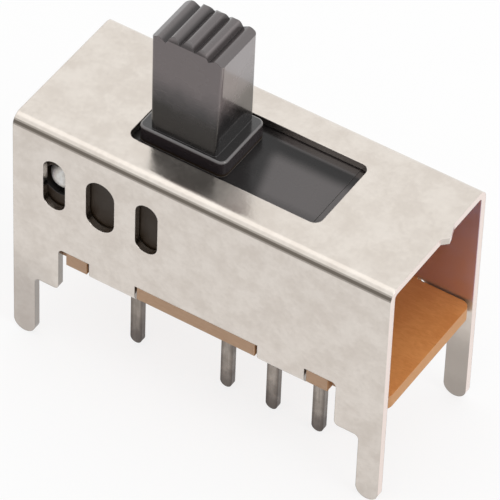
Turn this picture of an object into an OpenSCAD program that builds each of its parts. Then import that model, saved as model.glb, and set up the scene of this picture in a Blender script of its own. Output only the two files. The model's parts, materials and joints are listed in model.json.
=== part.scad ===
// Three-position slide switch for a circuit board: folded steel frame, phenolic base board,
// eight stamped terminals, moulded slider with two leaf contacts and a sprung pair of detent balls.
// X runs along the travel, Y across it, Z up from the tips of the frame's legs.

/* [Travel] */
// Step from one switch position to the next, also the pitch of the terminals
pitch = 2; // [1.8:0.1:2.5]
// Gap between the plinth and each end of the slot at the limits of travel
slot_end_gap = 0.2; // [0.1:0.05:0.5]

/* [Frame] */
// Length of the folded frame
frame_l = 16; // [15:0.5:22]
// Width over the frame's side walls
frame_w = 6.5; // [6.2:0.1:8]
// Height of a side wall, from its lower edge to the top face
wall_h = 5.7; // [5.2:0.1:7]
// Thickness of the steel sheet
sheet_t = 0.3; // [0.2:0.05:0.4]
// Inside radius of the two long bends
bend_r = 0.16; // [0.1:0.02:0.3]
// Gap between the plinth and each side of the slot
slot_side_gap = 0.37; // [0.2:0.01:0.5]
// Corner radius of the slot
slot_r = 0.35; // [0.1:0.05:0.6]

/* [Windows] */
// Width of the two outer detent windows
window_w = 0.97; // [0.7:0.05:1.1]
// Width of the middle detent window
window_mid_w = 1.24; // [0.8:0.05:1.25]
// Height of a detent window
window_h = 2.37; // [1.6:0.05:2.8]
// Depth of the windows' centre below the frame's top face
window_drop = 2.55; // [2.3:0.05:3]

/* [Legs and tabs] */
// Height of the base board's underside above the leg tips
standoff_h = 4.55; // [3.5:0.05:6]
// Width of a leg's root block
block_w = 2; // [1.5:0.1:2.5]
// Depth of the root block below the side wall's lower edge
block_drop = 2.1; // [1.2:0.1:2.6]
// Width of a leg
leg_w = 0.95; // [0.7:0.05:1.2]
// Corner radius of the root block and of the leg's inner corner
leg_r = 0.2; // [0.1:0.05:0.3]
// Distance from the frame's end to the middle of a clinched tab
tab_inset = 4.35; // [4:0.05:5]
// Width of a clinched tab
tab_w = 2; // [1.2:0.1:2.2]
// Inside bend radius of a clinched tab
tab_bend_r = 0.12; // [0.08:0.02:0.2]
// Length of the tab that lies flat under the board
tab_fold = 0.75; // [0.4:0.05:0.9]
// Width of the sheared stub where the carrier strip was cut off
stub_w = 0.95; // [0.5:0.05:1.5]
// Length of the sheared stub
stub_l = 0.23; // [0.1:0.01:0.4]
// Offset of the stub from the frame's middle plane
stub_y = 0.58; // [0:0.01:1]

/* [Base board] */
// Thickness of the phenolic base board
board_t = 0.6; // [0.5:0.05:1]
// Gap between the board's ears and the legs' root blocks
ear_gap = 0.35; // [0.1:0.05:0.5]
// Gap between the board's narrow ends and the side walls
board_side_gap = 0.06; // [0.02:0.02:0.3]
// Setback of the board's narrow ends from the frame's ends
board_end_gap = 0.05; // [0.02:0.01:0.15]
// Corner radius of the board's narrow ends
board_r = 0.35; // [0.1:0.05:0.5]
// Gap round a clinched tab in the board's notch
notch_gap = 0.1; // [0.05:0.01:0.2]
// Gap round a terminal's blade in the board's hole
hole_gap = 0.05; // [0.03:0.01:0.1]

/* [Terminals] */
// Thickness of the terminals' brass strip
strip_t = 0.25; // [0.2:0.01:0.3]
// Width of a terminal's blade
blade_w = 0.5; // [0.4:0.05:0.7]
// Distance between the two rows of blades, centre to centre
row_gap = 2.7; // [2.5:0.05:3]
// Place of the common terminals along the frame
common_x = -3.7; // [-3.9:0.05:-3.5]
// Length of a throw's contact pad
pad_l = 1.4; // [1.2:0.05:1.5]
// Overrun of the common pad past the contact's end positions
common_overrun = 0.45; // [0.3:0.05:0.6]
// Gap between the pads and the side walls
pad_wall_gap = 0.45; // [0.3:0.05:0.6]
// Inside bend radius of a terminal
strip_bend_r = 0.1; // [0.05:0.01:0.15]
// Height of the blade tips above the leg tips
blade_tip_h = 0.05; // [0:0.05:0.5]

/* [Slider] */
// Running gap between the slider and each side wall
side_clear = 0.06; // [0.04:0.01:0.1]
// Running gap between the slider's flange and the frame's top
top_clear = 0.05; // [0.03:0.01:0.1]
// Gap between the slider and the frame's end at the limit of travel
end_clear = 0.35; // [0.2:0.05:0.5]
// Gap between the slider's feet and the contact pads
foot_clear = 0.15; // [0.1:0.01:0.25]
// Thickness of the slider's flange
flange_t = 0.9; // [0.7:0.05:1]
// Setback of the slider's body from each end of its flange
body_setback = 0.45; // [0.2:0.05:0.6]
// Wall left round the hollow in the slider's body
core_wall = 0.4; // [0.3:0.05:0.6]
// Length of the raised plinth
plinth_l = 3.7; // [3.3:0.1:4]
// Width of the raised plinth
plinth_w = 2.8; // [2.6:0.05:3]
// Height of the plinth above the frame's top face
plinth_h = 0.35; // [0.15:0.05:0.8]
// Vertical corner radius of the plinth
plinth_r = 0.3; // [0.2:0.05:0.4]
// Radius round the plinth's top edge
plinth_edge_r = 0.1; // [0.05:0.01:0.15]

/* [Knob] */
// Length of the knob's end along the travel
knob_l = 3; // [2.6:0.1:3.2]
// Width of the knob's root across the travel
knob_w = 2.5; // [2.1:0.02:2.54]
// Height of the knob above the plinth
knob_h = 4.7; // [3:0.1:8]
// Amount by which each end of the knob draws in towards its root
knob_waist = 0.1; // [0.02:0.01:0.15]
// Amount by which each side of the knob draws in towards its end
knob_taper = 0.12; // [0.02:0.01:0.2]
// Vertical corner radius of the knob
knob_r = 0.14; // [0.05:0.01:0.3]
// Radius of the two long edges where the ridges run out
knob_edge_r = 0.3; // [0.1:0.02:0.4]
// Radius of the crown along the knob's end
crown_r = 3; // [2.6:0.1:8]
// Number of grip ridges on the knob's end
ridge_count = 5; // [3:1:6]
// Depth of the grooves between the ridges
ridge_h = 0.26; // [0.16:0.01:0.36]
// Radius of a ridge's rounded crest
ridge_r = 0.19; // [0.08:0.01:0.2]

/* [Leaf contacts] */
// Width of a leaf contact
leaf_w = 1; // [0.8:0.05:1.05]
// Thickness of a leaf contact
leaf_t = 0.12; // [0.1:0.01:0.15]
// Outside radius of the two wiping bumps
wiper_r = 0.38; // [0.3:0.01:0.42]
// Radius of the hump that bears on the slider
hump_r = 0.7; // [0.5:0.05:1]
// Width of the split between a leaf's two fingers
split_w = 0.2; // [0.15:0.01:0.25]
// Length of the split from each end of a leaf
split_l = 1.7; // [1:0.1:2]
// Gap between a leaf contact and what it bears on
leaf_gap = 0.02; // [0.01:0.01:0.05]
// Gap round a leaf contact in its pocket
pocket_gap = 0.1; // [0.06:0.01:0.15]
// Height of the leaf contacts' pockets
pocket_h = 1.75; // [1.5:0.05:1.8]

/* [Detent] */
// Radius of a detent ball
ball_r = 0.65; // [0.63:0.01:0.78]
// Gap between a ball and the side wall it runs on
ball_clear = 0.02; // [0.01:0.01:0.05]
// Radial gap between a ball and its bore
bore_clear = 0.03; // [0.02:0.01:0.08]
// Distance from the slider's end to the detent bore
bore_inset = 1.45; // [1.35:0.05:2]
// Wire diameter of the detent spring
wire_d = 0.14; // [0.1:0.01:0.18]
// Number of turns of the detent spring
spring_turns = 8; // [5:1:9]
// Radial gap between the detent spring and its bore
spring_clear = 0.12; // [0.08:0.01:0.2]

/* [Hidden] */
$fn = 48;
front = -1;
back = 1;
throws = 3;
eps = 0.01;
over = 1;

// The stub's torn edge: its corner as shares of the stub's length and width, then its tip's share
tear_corner = [0.8, -0.05];
tear_tip = -0.26;

// Levels, from the leg tips up
board_bottom = standoff_h;
board_top = board_bottom + board_t;
block_bottom = board_top - block_drop;
frame_top = board_top + wall_h;
ceiling = frame_top - sheet_t;
pad_top = board_top + strip_t;
slider_bottom = pad_top + foot_clear;
flange_top = ceiling - top_clear;
flange_bottom = flange_top - flange_t;
plinth_top = frame_top + plinth_h;
knob_top = plinth_top + knob_h;
ball_z = frame_top - window_drop;
pocket_top = slider_bottom + pocket_h;

// Widths and lengths that follow from the frame
inner_w = frame_w - 2 * sheet_t;
slot_l = plinth_l + (throws - 1) * pitch + 2 * slot_end_gap;
slot_w = plinth_w + 2 * slot_side_gap;
block_x = frame_l / 2 - block_w;
ear_x = block_x - ear_gap;
tab_x = frame_l / 2 - tab_inset;
board_l = frame_l - 2 * board_end_gap;
slider_l = frame_l - (throws - 1) * pitch - 2 * end_clear;
slider_w = inner_w - 2 * side_clear;
slider_x = -(throws - 1) / 2 * pitch;

// Contact tracks and detents
pad_y0 = row_gap / 2 - strip_t / 2;
pad_y1 = inner_w / 2 - pad_wall_gap;
track_y = (pad_y0 + strip_t + strip_bend_r + pad_y1) / 2;
wiper_a = common_x;
wiper_b = common_x + 3 * pitch;
bore_x = bore_inset - slider_l / 2;
bore_r = ball_r + bore_clear;
ball_y = inner_w / 2 - ball_clear - ball_r;
spring_r = bore_r - spring_clear - wire_d / 2;
spring_end = ball_y - sqrt(pow(ball_r + wire_d / 2 + leaf_gap, 2) - pow(spring_r, 2));

// Places of the terminals along a row: the common first, then the three throws
function terminal_x(i) = common_x + (i == 0 ? 0 : i + 1) * pitch;

// Rectangle centred on the origin with round corners
module round_rect(l, w, r) {
    square([l - 2 * r, w], center = true);
    square([l, w - 2 * r], center = true);
    for (x = [-1, 1], y = [-1, 1])
        translate([x * (l / 2 - r), y * (w / 2 - r)]) circle(r);
}

// Round rectangle of the given size, standing on z = 0
module slab(l, w, r, h) {
    linear_extrude(h) round_rect(l, w, r);
}

// The piece between two edges that meet at the origin and a round that joins them
module corner_web(r) {
    difference() {
        square(r);
        translate([r, r]) circle(r);
    }
}

// Cross-section standing on z = 0 with its two top corners round
module arch(w, h, r) {
    translate([-w / 2, 0]) square([w, h - r]);
    translate([r - w / 2, 0]) square([w - 2 * r, h]);
    for (side = [-1, 1])
        translate([side * (w / 2 - r), h - r]) circle(r);
}

// Upright slot shape with full round ends, or a plain circle where it is no taller than wide
module obround(w, h) {
    square([w, h - w], center = true);
    for (end = [-1, 1])
        translate([0, end * (h - w) / 2]) circle(w / 2);
}

// A quarter of a round bend in sheet of thickness t, its centre at the origin
module bend_quarter(r, t) {
    intersection() {
        difference() {
            circle(r + t);
            circle(r);
        }
        square(r + t);
    }
}

// A profile drawn in Y and Z, carried along X about the origin
module along_x(l) {
    rotate([90, 0, 90]) linear_extrude(l, center = true) children();
}

// A profile drawn in X and Z, carried along Y about the origin
module along_y(w) {
    rotate([90, 0, 0]) linear_extrude(w, center = true) children();
}

// Everything on the front side, and its mirror image on the back
module both_sides() {
    for (flip = [0, 1]) mirror([0, flip, 0]) children();
}

// ---------- frame ----------

// Side view of one leg on its root block, at the frame's right-hand end
module leg_outline() {
    translate([block_x, block_bottom + leg_r]) square([block_w, block_drop - leg_r + eps]);
    translate([block_x + leg_r, block_bottom]) square([block_w - leg_r, block_drop]);
    translate([block_x + leg_r, block_bottom + leg_r]) circle(leg_r);
    translate([frame_l / 2 - leg_w, leg_w / 2]) square([leg_w, block_bottom - leg_w / 2 + eps]);
    translate([frame_l / 2 - leg_w / 2, leg_w / 2]) circle(leg_w / 2);
    translate([frame_l / 2 - leg_w, block_bottom]) rotate(180) corner_web(leg_r);
    translate([block_x, board_top]) rotate(180) corner_web(leg_r);
}

// Side view of the whole frame, without the folded ends of its tabs
module wall_outline() {
    translate([-frame_l / 2, board_top]) square([frame_l, wall_h]);
    for (flip = [0, 1]) mirror([flip, 0]) {
        leg_outline();
        translate([tab_x - tab_w / 2, board_bottom + tab_bend_r])
            square([tab_w, board_t - tab_bend_r + eps]);
    }
}

// The end of a tab, bent in and lying flat under the board
module tab_fold_section() {
    y = inner_w / 2 - tab_bend_r;
    translate([y, board_bottom + tab_bend_r]) rotate(-90) bend_quarter(tab_bend_r, sheet_t);
    translate([y - tab_fold, board_bottom - sheet_t]) square([tab_fold + eps, sheet_t]);
}

// Broken edge left where the strip carried the frame through the press
module carrier_stub() {
    x = frame_l / 2;
    root = x - stub_w / 2;
    corner = [x + tear_corner[0] * stub_l, tear_corner[1] * stub_w];
    tip = [x + stub_l, tear_tip * stub_w];
    translate([0, stub_y, ceiling]) linear_extrude(sheet_t)
        polygon([[root, stub_w / 2], [x, stub_w / 2], corner, tip,
            [x, -stub_w / 2], [root, -stub_w / 2]]);
}

module frame() {
    color([0.80, 0.78, 0.74]) {
        difference() {
            intersection() {
                along_x(frame_l) difference() {
                    arch(frame_w, frame_top, bend_r + sheet_t);
                    translate([0, -eps]) arch(inner_w, ceiling + eps, bend_r);
                }
                along_y(frame_w + over) wall_outline();
            }
            translate([0, 0, ceiling - over / 2]) slab(slot_l, slot_w, slot_r, sheet_t + over);
            for (i = [-1, 0, 1])
                translate([bore_x + i * pitch, 0, ball_z]) along_y(frame_w + over)
                    obround(i == 0 ? window_mid_w : window_w, window_h);
        }
        both_sides() for (flip = [0, 1]) mirror([flip, 0, 0])
            translate([tab_x, 0, 0]) along_x(tab_w) tab_fold_section();
        carrier_stub();
    }
}

// ---------- base board ----------

// Plan of the board: ears under the walls, notched for the tabs, and narrow ends between the legs
module board_plan() {
    notch_y = inner_w / 2 - tab_bend_r;
    difference() {
        union() {
            square([2 * ear_x, frame_w], center = true);
            round_rect(board_l, inner_w - 2 * board_side_gap, board_r);
        }
        for (x = [-tab_x, tab_x], side = [0, 1])
            mirror([0, side]) translate([x - tab_w / 2 - notch_gap, notch_y])
                square([tab_w + 2 * notch_gap, frame_w]);
        for (i = [0:throws], side = [0, 1])
            mirror([0, side]) translate([terminal_x(i) - blade_w / 2 - hole_gap, pad_y0 - hole_gap])
                square([blade_w + 2 * hole_gap, strip_t + strip_bend_r + 2 * hole_gap]);
    }
}

module base_board() {
    color([0.72, 0.45, 0.22])
        translate([0, 0, board_bottom]) linear_extrude(board_t) board_plan();
}

// ---------- terminals ----------

// Side view of a blade and its bend, with the pad running outwards along +Y
module terminal_section() {
    bend_z = board_top - strip_bend_r;
    translate([pad_y0, blade_tip_h]) square([strip_t, bend_z - blade_tip_h]);
    translate([pad_y0 + strip_t + strip_bend_r, bend_z])
        rotate(90) bend_quarter(strip_bend_r, strip_t);
    translate([pad_y0 + strip_t + strip_bend_r - eps, board_top])
        square([pad_y1 - pad_y0 - strip_t - strip_bend_r + eps, strip_t]);
}

// Front view of the blade, with its round tip, from the tip up past the pad
module blade_outline() {
    tip_z = blade_tip_h + blade_w / 2;
    translate([-blade_w / 2, tip_z]) square([blade_w, pad_top - tip_z + over]);
    translate([0, tip_z]) circle(blade_w / 2);
}

// A terminal of the row on one side, with a pad that reaches x0 and x1 from its blade
module terminal(i, side, x0, x1) {
    pad_y = pad_y0 + strip_t + strip_bend_r;
    color([0.62, 0.60, 0.57])
        mirror([0, side == front ? 1 : 0, 0]) translate([terminal_x(i), 0, 0]) {
            intersection() {
                along_x(blade_w) terminal_section();
                along_y(frame_w) blade_outline();
            }
            translate([x0, pad_y, board_top]) cube([x1 - x0, pad_y1 - pad_y, strip_t]);
        }
}

module common_terminal(side) {
    reach = (throws - 1) / 2 * pitch + common_overrun;
    terminal(0, side, -reach, reach);
}

module throw_terminal(i, side) {
    terminal(i, side, -pad_l / 2, pad_l / 2);
}

// ---------- slider ----------

// Round rectangle whose top edge is rounded all the way round
module eased_slab(l, w, r, h, edge_r) {
    hull() {
        slab(l, w, r, h - edge_r);
        for (x = [-1, 1], y = [-1, 1])
            translate([x * (l / 2 - r), y * (w / 2 - r), h - edge_r])
                rotate_extrude() translate([r - edge_r, 0]) circle(edge_r);
    }
}

// Height of the crown against its middle, at a distance x along the knob
function crown(x) = sqrt(crown_r * crown_r - x * x) - crown_r;

// Bottom of the groove at x; the knob's own ends stay at the crown's height
function groove(x) = [x, crown(x) - (abs(x) < knob_l / 2 - eps ? ridge_h : 0)];

// Where a line from p touches the circle of radius r about c, on its left (-1) or right (1)
function touch(c, r, p, side) =
    let (away = p - c, a = atan2(away[0], away[1]) - side * acos(r / norm(away)))
    c + r * [sin(a), cos(a)];

// Crests along the knob's end, drawn in X and Z with the crown's middle at the origin
module ridge_comb() {
    step = knob_l / ridge_count;
    low = crown(knob_l / 2) - ridge_h - ridge_r;
    for (i = [0:ridge_count - 1]) {
        x = (i - (ridge_count - 1) / 2) * step;
        middle = [x, crown(x) - ridge_r];
        left = groove(x - step / 2);
        right = groove(x + step / 2);
        translate(middle) circle(ridge_r);
        polygon([[left[0], low], left, touch(middle, ridge_r, left, -1),
            touch(middle, ridge_r, right, 1), right, [right[0], low]]);
    }
    translate([-knob_l / 2, -knob_h - eps]) square([knob_l, knob_h + low + 2 * eps]);
}

// The knob before its ridges are cut: wider along the travel at its end, narrower across it
module knob_post() {
    end_w = knob_w - 2 * knob_taper;
    hull() {
        slab(knob_l - 2 * knob_waist, knob_w, knob_r, eps);
        translate([0, 0, knob_h - knob_edge_r]) slab(knob_l, end_w, knob_r, eps);
        for (side = [-1, 1])
            translate([0, side * (end_w / 2 - knob_edge_r), knob_h - knob_edge_r])
                rotate([0, 90, 0])
                    cylinder(h = knob_l - 2 * knob_r, r = knob_edge_r, center = true);
    }
}

module knob() {
    translate([0, 0, plinth_top - eps]) intersection() {
        knob_post();
        translate([0, 0, knob_h]) along_y(knob_w + over) ridge_comb();
    }
}

// Space for one leaf contact, open at the slider's underside
module leaf_pocket() {
    x0 = wiper_a - wiper_r - 2 * pocket_gap;
    x1 = wiper_b + wiper_r + 2 * pocket_gap;
    translate([x0, track_y - leaf_w / 2 - pocket_gap, slider_bottom - over])
        cube([x1 - x0, leaf_w + 2 * pocket_gap, pocket_h + over]);
}

// Hollow that keeps the moulding's walls even, between the two pockets
module core_pocket() {
    x0 = bore_x + bore_r + 2 * core_wall;
    x1 = slider_l / 2 - body_setback - 2 * core_wall;
    w = 2 * (track_y - leaf_w / 2 - pocket_gap - core_wall);
    translate([x0, -w / 2, slider_bottom - over])
        cube([x1 - x0, w, flange_bottom - slider_bottom + over]);
}

module slider_moulding() {
    difference() {
        union() {
            intersection() {
                translate([0, 0, flange_bottom]) slab(slider_l, slider_w, plinth_r, flange_t);
                along_x(slider_l + over) arch(slider_w, flange_top, bend_r);
            }
            translate([0, 0, slider_bottom])
                slab(slider_l - 2 * body_setback, slider_w, plinth_r, flange_bottom - slider_bottom + eps);
            translate([0, 0, flange_top - eps])
                eased_slab(plinth_l, plinth_w, plinth_r, plinth_top - flange_top + eps, plinth_edge_r);
            knob();
        }
        both_sides() leaf_pocket();
        core_pocket();
        translate([bore_x, 0, ball_z]) rotate([90, 0, 0])
            cylinder(h = slider_w + over, r = bore_r, center = true);
    }
}

module slider() {
    color([0.17, 0.17, 0.17]) translate([slider_x, 0, 0]) slider_moulding();
}

// ---------- leaf contacts ----------

// Centre line of a leaf: a wiping bump at each end and a hump between them, as points on arcs
function leaf_line() =
    let (r = wiper_r - leaf_t / 2,
        low = pad_top + leaf_gap + wiper_r,
        high = pocket_top - leaf_gap - leaf_t / 2 - hump_r,
        mid = (wiper_a + wiper_b) / 2)
    concat(
        [for (a = [170:20:310]) [wiper_a + r * cos(a), low + r * sin(a)]],
        [for (a = [115:-10:65]) [mid + hump_r * cos(a), high + hump_r * sin(a)]],
        [for (a = [230:20:370]) [wiper_b + r * cos(a), low + r * sin(a)]]);

function unit(v) = v / norm(v);

// Direction of a line of points at point i
function heading(p, i) = unit(p[min(i + 1, len(p) - 1)] - p[max(i - 1, 0)]);

// Points a distance d to the left of a line of points
function beside(p, d) =
    [for (i = [0:len(p) - 1]) p[i] + d * [-heading(p, i)[1], heading(p, i)[0]]];

module leaf_section() {
    line = leaf_line();
    right = beside(line, -leaf_t / 2);
    polygon(concat(beside(line, leaf_t / 2), [for (i = [len(right) - 1:-1:0]) right[i]]));
}

module leaf_contact(side) {
    x0 = wiper_a - wiper_r;
    x1 = wiper_b + wiper_r;
    color([0.83, 0.70, 0.42]) translate([slider_x, side * track_y, 0]) difference() {
        along_y(leaf_w) leaf_section();
        for (x = [x0 - over, x1 - split_l])
            translate([x, -split_w / 2, pad_top]) cube([split_l + over, split_w, pocket_h]);
    }
}

// ---------- detent ----------

module detent_ball(side) {
    color([0.85, 0.85, 0.86]) translate([slider_x + bore_x, side * ball_y, ball_z])
        sphere(ball_r);
}

// Height along the spring's axis at turn t, with the first and last turns lying closed
function spring_rise(t) =
    let (closed = 1.15 * wire_d,
        open = (2 * spring_end - 2 * closed) / (spring_turns - 2))
    t < 1 ? t * closed
        : t > spring_turns - 1 ? closed + (spring_turns - 2) * open
            + (t - spring_turns + 1) * closed
        : closed + (t - 1) * open;

// Coil spring along Y, swept as rings of eight points
module detent_spring() {
    sides = 8;
    per_turn = 10;
    rings = spring_turns * per_turn;
    points = [for (i = [0:rings], j = [0:sides - 1])
        let (a = 360 * i / per_turn, b = 360 * j / sides,
            r = spring_r + wire_d / 2 * cos(b))
        [r * cos(a), spring_rise(i / per_turn) - spring_end + wire_d / 2 * sin(b), r * sin(a)]];
    tube = [for (i = [0:rings - 1], j = [0:sides - 1])
        let (k = (j + 1) % sides)
        [i * sides + j, i * sides + k, (i + 1) * sides + k, (i + 1) * sides + j]];
    first = [[for (j = [sides - 1:-1:0]) j]];
    last = [[for (j = [0:sides - 1]) rings * sides + j]];
    color([0.55, 0.55, 0.55]) translate([slider_x + bore_x, 0, ball_z])
        polyhedron(points, concat(tube, first, last));
}

frame();
base_board();
common_terminal(front);  // terminal_front_common
throw_terminal(1, front);  // terminal_front_1
throw_terminal(2, front);  // terminal_front_2
throw_terminal(3, front);  // terminal_front_3
common_terminal(back);  // terminal_back_common
throw_terminal(1, back);  // terminal_back_1
throw_terminal(2, back);  // terminal_back_2
throw_terminal(3, back);  // terminal_back_3
slider();
leaf_contact(front);  // leaf_contact_front
leaf_contact(back);  // leaf_contact_back
detent_ball(front);  // detent_ball_front
detent_ball(back);  // detent_ball_back
detent_spring();
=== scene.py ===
import json
import math

import bpy
import numpy as np
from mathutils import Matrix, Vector


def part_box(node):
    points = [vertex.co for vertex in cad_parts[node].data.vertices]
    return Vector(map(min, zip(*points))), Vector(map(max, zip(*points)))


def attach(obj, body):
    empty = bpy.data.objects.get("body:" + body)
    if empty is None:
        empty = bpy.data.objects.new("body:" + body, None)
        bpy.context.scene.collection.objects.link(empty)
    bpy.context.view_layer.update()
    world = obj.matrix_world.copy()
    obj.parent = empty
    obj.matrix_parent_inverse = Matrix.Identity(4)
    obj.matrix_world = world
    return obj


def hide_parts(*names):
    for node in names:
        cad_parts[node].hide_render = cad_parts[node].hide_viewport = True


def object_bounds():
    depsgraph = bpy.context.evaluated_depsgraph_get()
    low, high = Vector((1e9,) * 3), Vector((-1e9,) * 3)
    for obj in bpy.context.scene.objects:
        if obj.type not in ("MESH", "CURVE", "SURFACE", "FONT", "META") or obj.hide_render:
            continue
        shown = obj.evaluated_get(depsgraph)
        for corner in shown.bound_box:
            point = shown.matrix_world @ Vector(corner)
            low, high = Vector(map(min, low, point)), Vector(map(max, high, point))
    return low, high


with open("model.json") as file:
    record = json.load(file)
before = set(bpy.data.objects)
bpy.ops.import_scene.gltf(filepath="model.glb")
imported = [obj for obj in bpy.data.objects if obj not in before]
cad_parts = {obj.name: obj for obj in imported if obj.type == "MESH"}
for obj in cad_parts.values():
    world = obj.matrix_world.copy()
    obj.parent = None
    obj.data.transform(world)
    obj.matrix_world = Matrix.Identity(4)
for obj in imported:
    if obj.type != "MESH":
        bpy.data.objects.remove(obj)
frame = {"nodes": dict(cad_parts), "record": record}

cad_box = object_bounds()
MM = 0.001

# ---------------------------------------------------------------- camera

AZIMUTH, ELEVATION, ROLL = math.radians(31.03), math.radians(45.33), math.radians(2.34)
AIM = Vector((1.363, -1.593, 7.85)) * MM
DISTANCE = 182.34 * MM

# what lies between these distances in metres is seen
NEAREST, FARTHEST = 0.005, 5

# the lens and the film in millimetres, and how far the middle of the view lies from the lens's axis
FOCAL = 365.6
FILM = 36
OFF_MIDDLE = (-0.29448, -0.12168)


def place_camera():
    """A long lens from the right, above the front wall, with a slight roll."""
    sa, ca = math.sin(AZIMUTH), math.cos(AZIMUTH)
    se, ce = math.sin(ELEVATION), math.cos(ELEVATION)
    back = Vector((sa * ce, -ca * ce, se))
    side = Vector((ca, sa, 0))
    over = back.cross(side)
    right = side * math.cos(ROLL) + over * math.sin(ROLL)
    up = over * math.cos(ROLL) - side * math.sin(ROLL)
    start = back * DISTANCE + AIM
    # the camera is turned by that small angle, so that the lens needs no shift
    across, along = (off / FOCAL for off in OFF_MIDDLE)
    back = (back - right * across + up * along).normalized()
    right = up.cross(back).normalized()
    up = back.cross(right)
    lens = bpy.data.cameras.new("view")
    lens.lens = FOCAL
    lens.sensor_width = FILM
    lens.clip_start, lens.clip_end = NEAREST, FARTHEST
    camera = bpy.data.objects.new("view", lens)
    turn = camera.matrix_world.to_3x3()
    turn.col[0], turn.col[1], turn.col[2] = right, up, back
    camera.matrix_world = turn.to_4x4()
    camera.location = start
    bpy.context.scene.collection.objects.link(camera)
    bpy.context.scene.camera = camera


place_camera()

# ---------------------------------------------------------------- shader graphs

# which of their outputs these nodes are used for
OBJECT_PLACE = 3
DIRECTION = 0
TRUE_NORMAL = 3
SEEN_RAY, GLOSSY_RAY, THROUGH_RAY = 0, 3, 6

# the sockets of a Mix node that are for colours
MIX_SHARE, MIX_FIRST, MIX_SECOND, MIX_RESULT = 0, 6, 7, 2

BEVEL_SAMPLES = 6


class Signal:
    """A number that varies over a surface. Arithmetic on it adds Math nodes."""

    def __init__(self, finish, socket):
        self.finish, self.socket = finish, socket

    def _math(self, operation, first, second):
        return self.finish.node("ShaderNodeMath", {"operation": operation}, {0: first, 1: second})[0]

    def __add__(self, other):
        return self._math("ADD", self, other)

    def __radd__(self, other):
        return self._math("ADD", other, self)

    def __sub__(self, other):
        return self._math("SUBTRACT", self, other)

    def __rsub__(self, other):
        return self._math("SUBTRACT", other, self)

    def __mul__(self, other):
        return self._math("MULTIPLY", self, other)

    def __rmul__(self, other):
        return self._math("MULTIPLY", other, self)

    def __pow__(self, other):
        return self._math("POWER", self, other)

    def most(self, other):
        """The larger of the two."""
        return self._math("MAXIMUM", self, other)

    def from_step(self, step):
        """How far the number is from the nearest whole multiple of the step."""
        return self._math("PINGPONG", self, step / 2)


class Finish:
    """A material, or the world, while its nodes are being laid out."""

    def __init__(self, owner, output):
        owner.use_nodes = True
        self.owner, self.tree = owner, owner.node_tree
        self.tree.nodes.clear()
        self.output = self.tree.nodes.new(output)

    def node(self, kind, settings=None, sockets=None):
        """Adds a node and returns its outputs: its settings first, then each socket's value or link."""
        made = self.tree.nodes.new(kind)
        for name, value in (settings or {}).items():
            setattr(made, name, value)
        for name, value in (sockets or {}).items():
            socket = made.inputs[name]
            if isinstance(value, Signal):
                self.tree.links.new(value.socket, socket)
            else:
                socket.default_value = value
        return [Signal(self, o) for o in made.outputs]

    def finish(self, shader):
        self.tree.links.new(shader.socket, self.output.inputs["Surface"])
        return self.owner

    def shown(self):
        """1 where the backdrop itself is seen: straight, in a gloss or through glass.

        It is 0 where the backdrop only gives its light.
        """
        ray = self.node("ShaderNodeLightPath")
        return ray[SEEN_RAY].most(ray[GLOSSY_RAY]).most(ray[THROUGH_RAY])

    # pieces that several finishes share

    def vector(self, operation, sockets):
        return self.node("ShaderNodeVectorMath", {"operation": operation}, sockets)

    def place(self):
        """Where a point of the surface lies, in millimetres."""
        where = self.node("ShaderNodeTexCoord")[OBJECT_PLACE]
        return self.vector("SCALE", {0: where, "Scale": 1 / MM})[0]

    def stretched(self, where, x, y, z):
        """The same places with each axis drawn out or squeezed."""
        return self.vector("MULTIPLY", {0: where, 1: (x, y, z)})[0]

    def apart(self, vector):
        """The three numbers of a direction or a place."""
        return self.node("ShaderNodeSeparateXYZ", None, {0: vector})

    def facing(self):
        """Which way the true surface faces."""
        return self.apart(self.node("ShaderNodeNewGeometry")[TRUE_NORMAL])

    def noise(self, where, per_mm, detail, rough, warp=0.0):
        """Soft spots, about so many to a millimetre, with finer ones in them."""
        return self.node("ShaderNodeTexNoise", {"noise_dimensions": "3D"}, {
            "Vector": where, "Scale": per_mm, "Detail": detail, "Roughness": rough, "Distortion": warp})[0]

    def band(self, value, low, high, to_low=0.0, to_high=1.0):
        """Eases from to_low to to_high as the value runs from low to high."""
        return self.node("ShaderNodeMapRange", {"interpolation_type": "SMOOTHSTEP"}, {
            "Value": value, "From Min": low, "From Max": high, "To Min": to_low, "To Max": to_high})[0]

    def blend(self, factor, first, second):
        """One colour fading into another."""
        first, second = [c if isinstance(c, Signal) else (*c, 1) for c in (first, second)]
        return self.node("ShaderNodeMix", {"data_type": "RGBA"}, {
            MIX_SHARE: factor, MIX_FIRST: first, MIX_SECOND: second})[MIX_RESULT]

    def rounded(self, radius):
        """The normal of edges broken by a small radius, and how near an edge a point is."""
        soft = self.node("ShaderNodeBevel", {"samples": BEVEL_SAMPLES}, {"Radius": radius * MM})[0]
        true = self.node("ShaderNodeNewGeometry")[TRUE_NORMAL]
        same = self.vector("DOT_PRODUCT", {0: soft, 1: true})[1]
        return soft, 1 - same

    def bump(self, height, depth, normal=None):
        """Relief of the given depth in millimetres."""
        sockets = {"Height": height, "Distance": depth * MM, "Strength": 1.0}
        if normal is not None:
            sockets["Normal"] = normal
        return self.node("ShaderNodeBump", None, sockets)[0]


def surface(name, paint, constants):
    """A Principled material: constants go on the shader itself, paint() gives what varies."""
    made = Finish(bpy.data.materials.new(name), "ShaderNodeOutputMaterial")
    sockets = {**constants, **paint(made)}
    return made.finish(made.node("ShaderNodeBsdfPrincipled", None, sockets)[0])


# ---------------------------------------------------------------- places on the switch, in millimetres


def middle_x(box):
    """The middle of a piece's box along the travel."""
    return (box[0][0] + box[1][0]) / 2 / MM


# what the boxes don't tell: the frame's sheet, the gap between it and the flange, the plinth's height
# above it, and the radius of the crown along the knob's end
SHEET = 0.3
TOP_CLEAR = 0.05
PLINTH_H = 0.35
CROWN_R = 3.0

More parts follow.
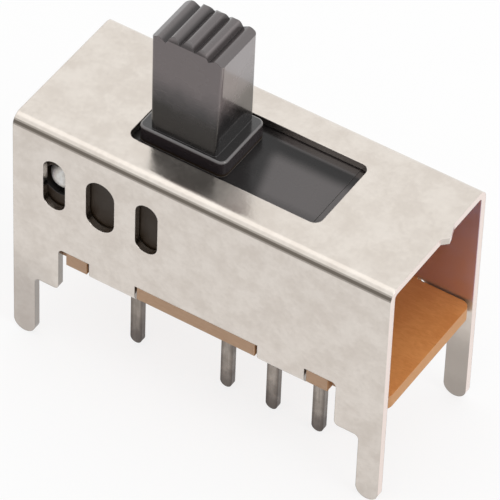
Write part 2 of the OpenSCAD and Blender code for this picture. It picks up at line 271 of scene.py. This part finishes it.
FRAME_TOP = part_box("frame")[1][2] / MM
BOARD_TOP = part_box("base_board")[1][2] / MM
KNOB_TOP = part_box("slider")[1][2] / MM
FLANGE_TOP = FRAME_TOP - SHEET - TOP_CLEAR
PLINTH_TOP = FRAME_TOP + PLINTH_H
KNOB_X = middle_x(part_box("slider"))
BLADE_X = middle_x(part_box("terminal_front_1"))
PITCH = middle_x(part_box("terminal_front_2")) - BLADE_X

# ---------------------------------------------------------------- finishes

# In all of them at is the place, facing is the way the surface faces, edge is the nearness of an edge
# and soft is the normal of the broken edges. A mask is highest in the part that it is named for.


def tinned_steel(f):
    """Tin plate: pale warm grey, cloudy, with faint rolling lines.

    It is painted darker as shade on the walls, down the legs and low on the walls' inner sides, with a
    pinkish painted reflection higher on those inner sides and a painted dark reflection in the two long
    folds. It is dark where the legs were sheared and pale as a painted highlight where the frame's ends
    were. Edges are paler above the board, partly from rubbing and partly as a painted highlight, and
    painted darker below it as shade.
    """
    tin, bright_tin = (0.705, 0.643, 0.580), (0.795, 0.737, 0.673)
    wall_shade_tin, bright_wall_shade_tin = (0.54, 0.485, 0.44), (0.66, 0.605, 0.56)
    lower_shade_grey, inner_reflection_tint, fold_dark_reflection = (0.40, 0.36, 0.325), (0.74, 0.65, 0.82), (0.13, 0.11, 0.09)
    leg_cut, end_cut_highlight = (0.33, 0.305, 0.28), (0.86, 0.735, 0.68)
    rubbed_and_highlit, leg_edge_shade = (0.88, 0.81, 0.76), (0.36, 0.335, 0.31)

    where = f.place()
    cloud = f.noise(where, 0.9, 4.0, 0.6)
    fleck = f.noise(where, 5.0, 3.0, 0.7)
    rolled = f.noise(f.stretched(where, 0.35, 9.0, 9.0), 1.3, 4.0, 0.6)
    soft, edge = f.rounded(0.055)
    tone = f.band(cloud * 0.7 + fleck * 0.3, 0.34, 0.66)
    facing, at = f.facing(), f.apart(where)

    # the product is below zero on the inner side of both long walls, and x squared is the same at both ends
    inside = f.band(facing[1] * at[1], -2.3, -2.8)
    end = f.band(at[0] * at[0], 58.0, 62.0)
    left = f.band(at[0], -6.0, -7.0)
    legs = 1 - f.band(at[2] + cloud, 2.5, 5.4)
    tips = 1 - f.band(at[2] + 0.6 * fleck, 0.3, 1.6)
    low = 1 - f.band(at[2], BOARD_TOP - 0.15, BOARD_TOP + 0.15)
    wall = 1 - f.band(facing[2], 0.1, 0.5)
    fold = f.band(facing[2], 0.08, 0.3) * (1 - f.band(facing[2], 0.5, 0.72))
    sheared = f.band(facing[0] * facing[0], 0.5, 0.8)
    edge_wear_and_shading = f.band(edge, 0.02, 0.2) * (1 - fold)
    # painted shade: darker down the legs and low on the walls' inner sides, most on the left leg and at the
    # tips
    lower_shade = legs * (0.16 + 0.75 * inside + 0.8 * left * (1 - inside) + 0.2 * tips)

    plate = f.blend(tone, tin, bright_tin)
    plate = f.blend(lower_shade, plate, lower_shade_grey)
    # painted reflection: a pinkish tint on the walls' inner sides above the board
    plate = f.blend(inside * f.band(at[2], 5.1, 5.4), plate, inner_reflection_tint)
    # painted shade: the outer walls are darker than the top
    plate = f.blend(wall * (1 - inside) * 0.5, plate, f.blend(tone, wall_shade_tin, bright_wall_shade_tin))
    # painted reflection: a dark band in the two long folds
    plate = f.blend(0.95 * fold, plate, fold_dark_reflection)
    plate = f.blend(sheared * (1 - end) * low, plate, leg_cut)
    # painted highlight: the cut faces at the frame's ends are pale
    plate = f.blend(sheared * end, plate, end_cut_highlight)
    # edges above the board are paler, partly from rubbing and partly as a painted highlight
    plate = f.blend(edge_wear_and_shading * (1 - low) * 0.6, plate, rubbed_and_highlit)
    # painted shade: edges below the board are darker
    plate = f.blend(edge_wear_and_shading * low * (1 - end) * 0.5, plate, leg_edge_shade)
    grain = fleck * 0.6 + rolled * 0.4
    return {"Base Color": plate,
            "Roughness": 0.15 + 0.09 * tone - 0.04 * edge_wear_and_shading + 0.04 * rolled + 0.2 * inside,
            "Normal": f.bump(grain, 0.004, soft)}


def phenolic_board(f):
    """Paper-filled phenolic: orange brown, mottled with fibres, painted redder and darker away from the right
    end as shade inside the frame.

    It is paler and furred where it was cut, and browner on the cuts that face along the board.
    """
    resin, pale_resin, inner_shade_resin = (0.68, 0.243, 0.058), (0.80, 0.32, 0.092), (0.47, 0.13, 0.045)
    furred, pale_furred, end_furred = (0.41, 0.275, 0.18), (0.56, 0.43, 0.31), (0.57, 0.305, 0.135)

    where = f.place()
    cloud = f.noise(where, 0.7, 4.0, 0.6)
    fibre = f.noise(f.stretched(where, 3.0, 9.0, 14.0), 1.0, 5.0, 0.65, 0.8)
    soft, edge = f.rounded(0.03)
    facing, at = f.facing(), f.apart(where)
    side = 1 - f.band(facing[2] * facing[2], 0.2, 0.7)
    inner = 1 - f.band(at[0] + 0.8 * cloud - 0.25 * at[1], 5.0, 7.8)
    endwise = f.band(facing[0] * facing[0], 0.5, 0.8)

    top = f.blend(f.band(cloud * 0.5 + fibre * 0.5, 0.36, 0.64), resin, pale_resin)
    # painted shade: redder and darker away from the right end, inside the frame
    top = f.blend(inner * (1 - side) * 0.4, top, inner_shade_resin)
    cut = f.blend(fibre, furred, pale_furred)
    cut = f.blend(endwise, cut, end_furred)
    return {"Base Color": f.blend(side * 0.8 + f.band(edge, 0.02, 0.25) * 0.2, top, cut),
            "Roughness": 0.36 + 0.25 * side + 0.12 * fibre,
            "Normal": f.bump(fibre + side * fibre * 2.0, 0.006, soft)}


def plated_brass(f):
    """Silver over brass: greyer than the frame, painted dark as shade, and darker still as painted shade
    towards the blades' edges and at their tips.

    The contact pads on the board are paler, as they are left without that painted shade.
    """
    shaded_silver, bright_shaded_silver = (0.26, 0.228, 0.200), (0.38, 0.335, 0.298)
    pad_silver, bright_pad = (0.56, 0.51, 0.45), (0.74, 0.69, 0.62)
    blade_side_shade, bare = (0.132, 0.112, 0.100), (0.08, 0.067, 0.062)

    where = f.place()
    cloud = f.noise(where, 1.6, 4.0, 0.6)
    shear = f.noise(f.stretched(where, 9.0, 9.0, 0.5), 1.6, 3.0, 0.6)
    soft, edge = f.rounded(0.03)
    tone = f.band(cloud * 0.6 + shear * 0.4, 0.38, 0.62)
    at = f.apart(where)
    off_middle = (at[0] - BLADE_X).from_step(PITCH)
    pad = f.band(at[2], BOARD_TOP - 0.1, BOARD_TOP)
    tips = 1 - f.band(at[2] + cloud, 0.6, 2.4)

    # painted shade: the blades are dark grey
    plating = f.blend(tone, shaded_silver, bright_shaded_silver)
    # painted shade: darker towards the sides of each blade
    plating = f.blend(0.7 * f.band(off_middle, 0.08, 0.25), plating, blade_side_shade)
    plating = f.blend(pad, plating, f.blend(tone, pad_silver, bright_pad))
    # painted shade: darker at the blades' tips near the table and along their edges
    plating = f.blend(tips * 0.75 + f.band(edge, 0.02, 0.25) * (1 - pad) * 0.25, plating, bare)
    return {"Base Color": plating,
            "Roughness": 0.26 + 0.16 * (1 - tone),
            "Normal": f.bump(shear, 0.004, soft)}


def black_moulding(f):
    """Glossy black plastic with faint scuffs, and edges greyed partly by rubbing and partly as a painted
    highlight.

    The knob is painted greyer towards its end, as a painted reflection, but for the grooves. The plinth
    has a painted highlight along its top edge. The flange is matt and has painted shadow along its back
    and front edges and from its left end to just past the plinth, and painted brown shade on its sides.
    A groove lies between two depths under the crown, an arc of radius R over the knob's middle:
    under = top - R + sqrt(R^2 - x^2) - z.
    """
    black, scuffed_black = (0.012, 0.0105, 0.0105), (0.020, 0.018, 0.0175)
    plinth_black, flange_black = (0.034, 0.027, 0.029), (0.052, 0.042, 0.041)
    flange_shadow_black, lower_side_shade = (0.008, 0.007, 0.007), (0.028, 0.016, 0.007)
    top_reflection_grey, rubbed_highlight_grey, rim_highlight_grey = (0.225, 0.189, 0.189), (0.16, 0.15, 0.15), (0.12, 0.11, 0.11)

    where = f.place()
    cloud = f.noise(where, 0.8, 3.0, 0.5)
    peel = f.noise(where, 9.0, 3.0, 0.6)
    scuff = f.noise(f.stretched(where, 1.2, 9.0, 6.0), 1.5, 5.0, 0.7, 1.5)
    soft, edge = f.rounded(0.04)
    facing, at = f.facing(), f.apart(where)

    up = f.band(facing[2], 0.3, 0.8)
    side = f.band(facing[1] * facing[1], 0.5, 0.8)
    below = 1 - f.band(at[2], FLANGE_TOP + 0.05, FLANGE_TOP + 0.15)
    above = f.band(at[2], PLINTH_TOP + 0.03, PLINTH_TOP + 0.1)
    plinth = (1 - below) * (1 - f.band(at[2], PLINTH_TOP - 0.005, PLINTH_TOP + 0.005))
    # painted highlight: a pale line along the plinth's rounded top edge
    rim = plinth * f.band(at[2], PLINTH_TOP - 0.1, PLINTH_TOP - 0.06) * (1 - f.band(facing[2], 0.93, 0.995))
    lower_sides = below * (1 - up)

    # the knob
    edge_wear_and_shading = f.band(edge, 0.02, 0.2)
    corner = edge_wear_and_shading * above * (1 - up)
    rubbed_and_highlit = edge_wear_and_shading * f.band(cloud, 0.3, 0.6, 0.4, 1.0) * (1 - corner)
    from_middle = at[0] - KNOB_X
    under = KNOB_TOP - CROWN_R + (CROWN_R ** 2 - from_middle * from_middle) ** 0.5 - at[2]
    groove = 0.7 * f.band(under, 0.03, 0.18) * (1 - f.band(under, 0.4, 0.5)) * f.band(facing[2], 0.08, 0.2)
    # painted reflection: the knob is lighter towards its end, except in the grooves and at its corners
    top_reflection = f.band(at[2] + 1.2 * cloud + 0.6 * scuff, 13.2, 15.1) * (1 - groove) * (1 - 0.7 * corner)
    deep = (1 - up) * (1 - below) * (0.3 + 0.8 * side)

    # the flange
    back = f.band(at[1] + 0.15 * cloud, 0.5, 1.15) * (1 - 0.7 * f.band(at[1], 1.3, 1.45))
    front = 0.35 * (1 - f.band(at[1], -1.45, -1.0))
    foot = 0.9 * (1 - f.band(at[0] + 0.28 * at[1] + 0.15 * cloud, 0.65, 1.2))
    # painted shadow: dark along the flange's back and front edges, and from its left end to just past the
    # plinth
    painted_shadow = (1 - (1 - back) * (1 - front) * (1 - foot)) * up * below

    colour = f.blend(f.band(scuff, 0.5, 0.75), black, scuffed_black)
    colour = f.blend(plinth * (1 - up), colour, plinth_black)
    colour = f.blend(up * below, colour, flange_black)
    # painted shadow on the flange
    colour = f.blend(painted_shadow, colour, flange_shadow_black)
    # painted shade: the flange's sides and the body below it are brown and dark
    colour = f.blend(lower_sides, colour, lower_side_shade)
    colour = f.blend(top_reflection * (1 - 0.62 * up), colour, top_reflection_grey)
    # edges are greyer, partly from rubbing and partly as a painted highlight
    colour = f.blend(rubbed_and_highlit * (1 - groove) * 0.7, colour, rubbed_highlight_grey)
    colour = f.blend(rim, colour, rim_highlight_grey)
    dry = 0.10 * f.band(cloud, 0.35, 0.65) + 0.14 * f.band(scuff, 0.55, 0.8)
    gloss = (1.0 - 0.3 * rubbed_and_highlit) * (1 - lower_sides) * (1 - 0.8 * deep) * (1 - corner)
    return {"Base Color": colour,
            "Roughness": 0.20 + dry + 0.3 * lower_sides,
            "Coat Weight": gloss * (1 - groove) * (1 - painted_shadow) * (1 - 0.15 * below),
            "Normal": f.bump(peel * 0.5 + scuff * 0.5, 0.003, soft)}


def phosphor_bronze(f):
    """Bare phosphor bronze strip with fine rolling lines and brighter edges."""
    bronze, bright_bronze, edge_bronze = (0.62, 0.40, 0.22), (0.78, 0.56, 0.34), (0.88, 0.70, 0.48)
    where = f.place()
    rolled = f.noise(f.stretched(where, 0.5, 12.0, 3.0), 1.6, 4.0, 0.6)
    cloud = f.noise(where, 1.4, 3.0, 0.6)
    soft, edge = f.rounded(0.02)
    colour = f.blend(f.band(cloud, 0.35, 0.65), bronze, bright_bronze)
    colour = f.blend(f.band(edge, 0.02, 0.25) * 0.5, colour, edge_bronze)
    return {"Base Color": colour, "Roughness": 0.22 + 0.14 * rolled, "Normal": f.bump(rolled, 0.003, soft)}


def ball_steel(f):
    """Bearing steel with a few fine scratches and a film of grease."""
    steel, greasy_steel = (0.90, 0.89, 0.87), (0.76, 0.73, 0.68)
    where = f.place()
    smear = f.noise(where, 2.2, 4.0, 0.6, 0.8)
    line = f.noise(f.stretched(where, 3.0, 14.0, 2.0), 2.0, 3.0, 0.6)
    return {"Base Color": f.blend(f.band(smear, 0.4, 0.65), steel, greasy_steel),
            "Roughness": 0.36 + 0.12 * f.band(smear, 0.45, 0.7),
            "Normal": f.bump(line, 0.001)}


def spring_wire(f):
    """Drawn wire: dark grey with brighter, rougher streaks from the die."""
    drawn, bright_drawn = (0.36, 0.35, 0.34), (0.58, 0.57, 0.55)
    where = f.place()
    die = f.noise(f.stretched(where, 8.0, 2.0, 8.0), 2.0, 3.0, 0.6)
    return {"Base Color": f.blend(f.band(die, 0.35, 0.65), drawn, bright_drawn),
            "Roughness": 0.26 + 0.16 * die,
            "Normal": f.bump(die, 0.002)}


METAL = {"Metallic": 1.0}
LAMINATE = {"Metallic": 0.0, "IOR": 1.55}
PLASTIC = {"Metallic": 0.0, "IOR": 1.43, "Coat Roughness": 0.07, "Coat IOR": 1.6}
GREASED = {"Metallic": 0.4}
FINISHES = {name: surface(name, paint, constants) for name, paint, constants in (
    ("tinned_steel", tinned_steel, METAL),
    ("phenolic_board", phenolic_board, LAMINATE),
    ("plated_brass", plated_brass, METAL),
    ("black_moulding", black_moulding, PLASTIC),
    ("phosphor_bronze", phosphor_bronze, METAL),
    ("ball_steel", ball_steel, GREASED),
    ("spring_wire", spring_wire, METAL),
)}
for part in frame["record"]["subparts"]:
    mesh = frame["nodes"][part["node"]].data
    mesh.materials.clear()
    mesh.materials.append(FINISHES[part["material_slot"]])

# ---------------------------------------------------------------- pieces


def as_mesh(name, corners, faces, material):
    """A mesh object from an array of corners and arrays of faces, each with its own number of corners."""
    mesh = bpy.data.meshes.new(name)
    mesh.vertices.add(len(corners))
    mesh.vertices.foreach_set("co", np.ascontiguousarray(corners, dtype=np.float32).ravel())
    around = np.concatenate([np.full(len(f), f.shape[1]) for f in faces])
    loops = np.concatenate([f.ravel() for f in faces])
    mesh.loops.add(len(loops))
    mesh.loops.foreach_set("vertex_index", loops.astype(np.int32))
    mesh.polygons.add(len(around))
    mesh.polygons.foreach_set("loop_start", np.concatenate([[0], np.cumsum(around)[:-1]]).astype(np.int32))
    mesh.polygons.foreach_set("use_smooth", np.ones(len(around), dtype=bool))
    mesh.update(calc_edges=True)
    mesh.validate()
    mesh.materials.append(material)
    made = bpy.data.objects.new(name, mesh)
    bpy.context.scene.collection.objects.link(made)
    return made


def around_once(sides):
    """Evenly spaced angles once round a section."""
    return np.linspace(0, 2 * np.pi, sides, endpoint=False)


def swept(rings):
    """Corners and faces of a closed skin over rings of points, an array of (ring, point round it, xyz).

    Neighbouring rings are joined by quads, and each end closes on its ring's mean point by triangles.
    """
    count, sides = rings.shape[:2]
    corners = np.concatenate([rings.reshape(-1, 3), rings[0].mean(0)[None], rings[-1].mean(0)[None]])
    ring, point = np.meshgrid(np.arange(count - 1), np.arange(sides), indexing="ij")
    after = (point + 1) % sides
    quads = np.stack([ring * sides + point, ring * sides + after,
                      (ring + 1) * sides + after, (ring + 1) * sides + point], -1).reshape(-1, 4)
    here = np.arange(sides)
    following = (here + 1) % sides
    last = (count - 1) * sides
    first_fan = np.stack([following, here, np.full(sides, count * sides)], -1)
    last_fan = np.stack([last + here, last + following, np.full(sides, count * sides + 1)], -1)
    return corners, [quads, np.concatenate([first_fan, last_fan])]


# the detent's spring: its wire, its turns, the climb of a closed end turn in wires, and how thick the
# wire is at its two cut ends
WIRE = 0.14 * MM
TURNS = 8
END_CLIMB = 1.15
CUT_ENDS = np.array([0.80, 0.94])
PER_TURN = 30
EASED_OVER = PER_TURN // 3
WIRE_SIDES = 14


def detent_coil():
    """The detent's spring as round wire, in place of the eight-sided one.

    With turn t from 0 to TURNS and a = 2 pi t, the wire's middle is at (R cos a, rise(t), R sin a)
    about the bore. rise is steep in between, and in the first and last turn it climbs by END_CLIMB
    wires only, eased in and out. A circle of the wire's radius, smaller at both cut ends, is carried
    along it, square to the path.
    """
    low, high = (np.array(corner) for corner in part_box("detent_spring"))
    middle = (low + high) / 2
    radius = (high[0] - low[0]) / 2 - WIRE / 2
    half = (high[1] - low[1]) / 2 - WIRE / 2
    closed = END_CLIMB * WIRE
    t = np.linspace(0, TURNS, TURNS * PER_TURN + 1)
    rise = np.interp(t, [0, 1, TURNS - 1, TURNS], [-half, closed - half, half - closed, half])
    # the corners of the rise are eased by a running mean, past both ends on their mirror image
    mean = np.hanning(EASED_OVER)
    before = 2 * rise[0] - rise[PER_TURN:0:-1]
    beyond = 2 * rise[-1] - rise[-2:-PER_TURN - 2:-1]
    eased = np.convolve(np.concatenate([before, rise, beyond]), mean / mean.sum(), "same")
    rise = eased[PER_TURN:PER_TURN + len(t)]

    a = 2 * np.pi * t
    none = np.zeros_like(a)
    out = np.stack([np.cos(a), none, np.sin(a)], -1)
    path = radius * out + np.stack([none, rise, none], -1)
    heading = np.gradient(path, axis=0)
    heading /= np.linalg.norm(heading, axis=1)[:, None]
    across = np.cross(heading, out)
    whole = np.ones(len(t) - 2 * len(CUT_ENDS))
    thick = np.concatenate([CUT_ENDS, whole, CUT_ENDS[::-1]]) * WIRE / 2
    b = around_once(WIRE_SIDES)[None, :, None]
    rings = path[:, None] + thick[:, None, None] * (np.cos(b) * out[:, None] + np.sin(b) * across[:, None])
    corners, faces = swept(rings + middle)
    coil = as_mesh("detent_coil", corners, faces, FINISHES["spring_wire"])
    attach(coil, "slider")
    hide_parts("detent_spring")


detent_coil()

# the flange's lips: how far they reach out of the flange and into it, and how far their top is below
# its top; then the inset of the rings at a lip's two ends, and how far these are drawn in
LIP_REACH = 0.34
LIP_ROOT = 0.06
LIP_THICK = 0.4
LIP_STEP = 0.015
LIP_SIDE_GAP = 0.02
LIP_SIDES = 64
LIP_SQUARENESS = 8
LIP_INSET = np.array([0.0, 0.02, 0.06])
LIP_DRAWN_IN = np.array([0.86, 0.96, 1.0])


def flange_lips():
    """The flange carried on at both ends, so that it fills the slot at either end of the travel.

    A lip is a bar across the flange. Its section in X and Z is the superellipse |x / a|^n + |z / c|^n = 1,
    with n the squareness, and a and c half the bar's depth and half its thickness. Near both ends of the
    bar the section is drawn in, which rounds them. At full travel the outer side is level with the
    frame's end.
    """
    low, high = (np.array(corner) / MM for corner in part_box("slider"))
    b = around_once(LIP_SIDES)
    power = 2 / LIP_SQUARENESS
    section_x = (LIP_REACH + LIP_ROOT) / 2 * np.sign(np.cos(b)) * np.abs(np.cos(b)) ** power
    section_z = -LIP_THICK / 2 * np.sign(np.sin(b)) * np.abs(np.sin(b)) ** power
    half = high[1] - LIP_SIDE_GAP
    y = np.concatenate([LIP_INSET - half, half - LIP_INSET[::-1]])[:, None]
    share = np.concatenate([LIP_DRAWN_IN, LIP_DRAWN_IN[::-1]])[:, None]
    centre_z = FLANGE_TOP - LIP_STEP - LIP_THICK / 2
    for name, end, outward in (("flange_lip_left", low[0], -1), ("flange_lip_right", high[0], 1)):
        centre_x = end + outward * (LIP_REACH - LIP_ROOT) / 2
        rings = np.stack([centre_x + share * section_x, y + 0 * section_x, centre_z + share * section_z], -1)
        corners, faces = swept(rings * MM)
        lip = as_mesh(name, corners, faces, FINISHES["black_moulding"])
        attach(lip, "slider")


flange_lips()

# ---------------------------------------------------------------- stage

WHITE = (1, 1, 1, 1)

# the table in metres, and on it the round patch in millimetres that catches the object's shadow
TABLE_HALF = 0.5
TABLE_GAP = 0.00002
PATCH_MIDDLE = (-2.0, 8.0, 0.0)
PATCH_FROM, PATCH_TO = 18.0, 38.0
PATCH_GREY, FAR_GREY = (0.86, 0.86, 0.86), (0.14, 0.14, 0.14)
SHADOW_SHARE = 0.2


def floor():
    """A white table top that catches the object's shadow. Beyond the patch it gives back little light."""
    corners = np.array([(-1, -1, 0), (1, -1, 0), (1, 1, 0), (-1, 1, 0)]) * TABLE_HALF
    corners[:, 2] = cad_box[0][2] - TABLE_GAP
    made = Finish(bpy.data.materials.new("table_top"), "ShaderNodeOutputMaterial")
    away = made.vector("SUBTRACT", {0: made.place(), 1: PATCH_MIDDLE})[0]
    near = 1 - made.band(made.vector("LENGTH", {0: away})[1], PATCH_FROM, PATCH_TO)
    seen = made.shown()
    bare = made.blend(near, FAR_GREY, PATCH_GREY)
    paper = made.node("ShaderNodeBsdfDiffuse", None, {"Color": bare})[0]
    white = made.node("ShaderNodeEmission", None, {"Color": WHITE, "Strength": 1.0})[0]
    mix = made.node("ShaderNodeMixShader", None, {0: seen * (1 - SHADOW_SHARE * near), 1: paper, 2: white})[0]
    table = as_mesh("table_top", corners, [np.array([[0, 1, 2, 3]])], made.finish(mix))


# the sky's strength overhead, low in front and low behind, and the lamps: name, direction, size and power
SKY_OVERHEAD, SKY_FRONT, SKY_BEHIND = 1.32, 0.34, 0.98
LAMPS_AWAY = 0.25
LAMPS = (("overhead", (-0.36, -0.10, 0.93), 0.16, 0.02),
         ("right", (0.80, -0.10, 0.55), 0.12, 0.14))


def studio():
    """Even light from behind, dimmer low in front and brightest overhead, and two broad weak lamps."""
    world = bpy.data.worlds.new("studio")
    bpy.context.scene.world = world
    sky = Finish(world, "ShaderNodeOutputWorld")
    to = sky.apart(sky.node("ShaderNodeTexCoord")[DIRECTION])
    front = sky.band(to[2], 0.30, 0.98, SKY_FRONT, SKY_OVERHEAD)
    behind = sky.band(to[2], 0.80, 1.0, SKY_BEHIND, SKY_OVERHEAD)
    level = front + (behind - front) * sky.band(to[1], -0.25, 0.25)
    seen = sky.shown()
    strength = level * (1 - seen) + seen
    sky.finish(sky.node("ShaderNodeBackground", None, {"Color": WHITE, "Strength": strength})[0])

    for name, toward, size, power in LAMPS:
        lamp = bpy.data.lights.new(name, "AREA")
        lamp.shape = "DISK"
        lamp.size, lamp.energy = size, power
        hung = bpy.data.objects.new(name, lamp)
        hung.location = Vector(toward).normalized() * LAMPS_AWAY
        hung.rotation_euler = hung.location.to_track_quat("Z", "Y").to_euler()
        bpy.context.scene.collection.objects.link(hung)


floor()
studio()
bpy.context.scene.view_settings.view_transform = "Standard"
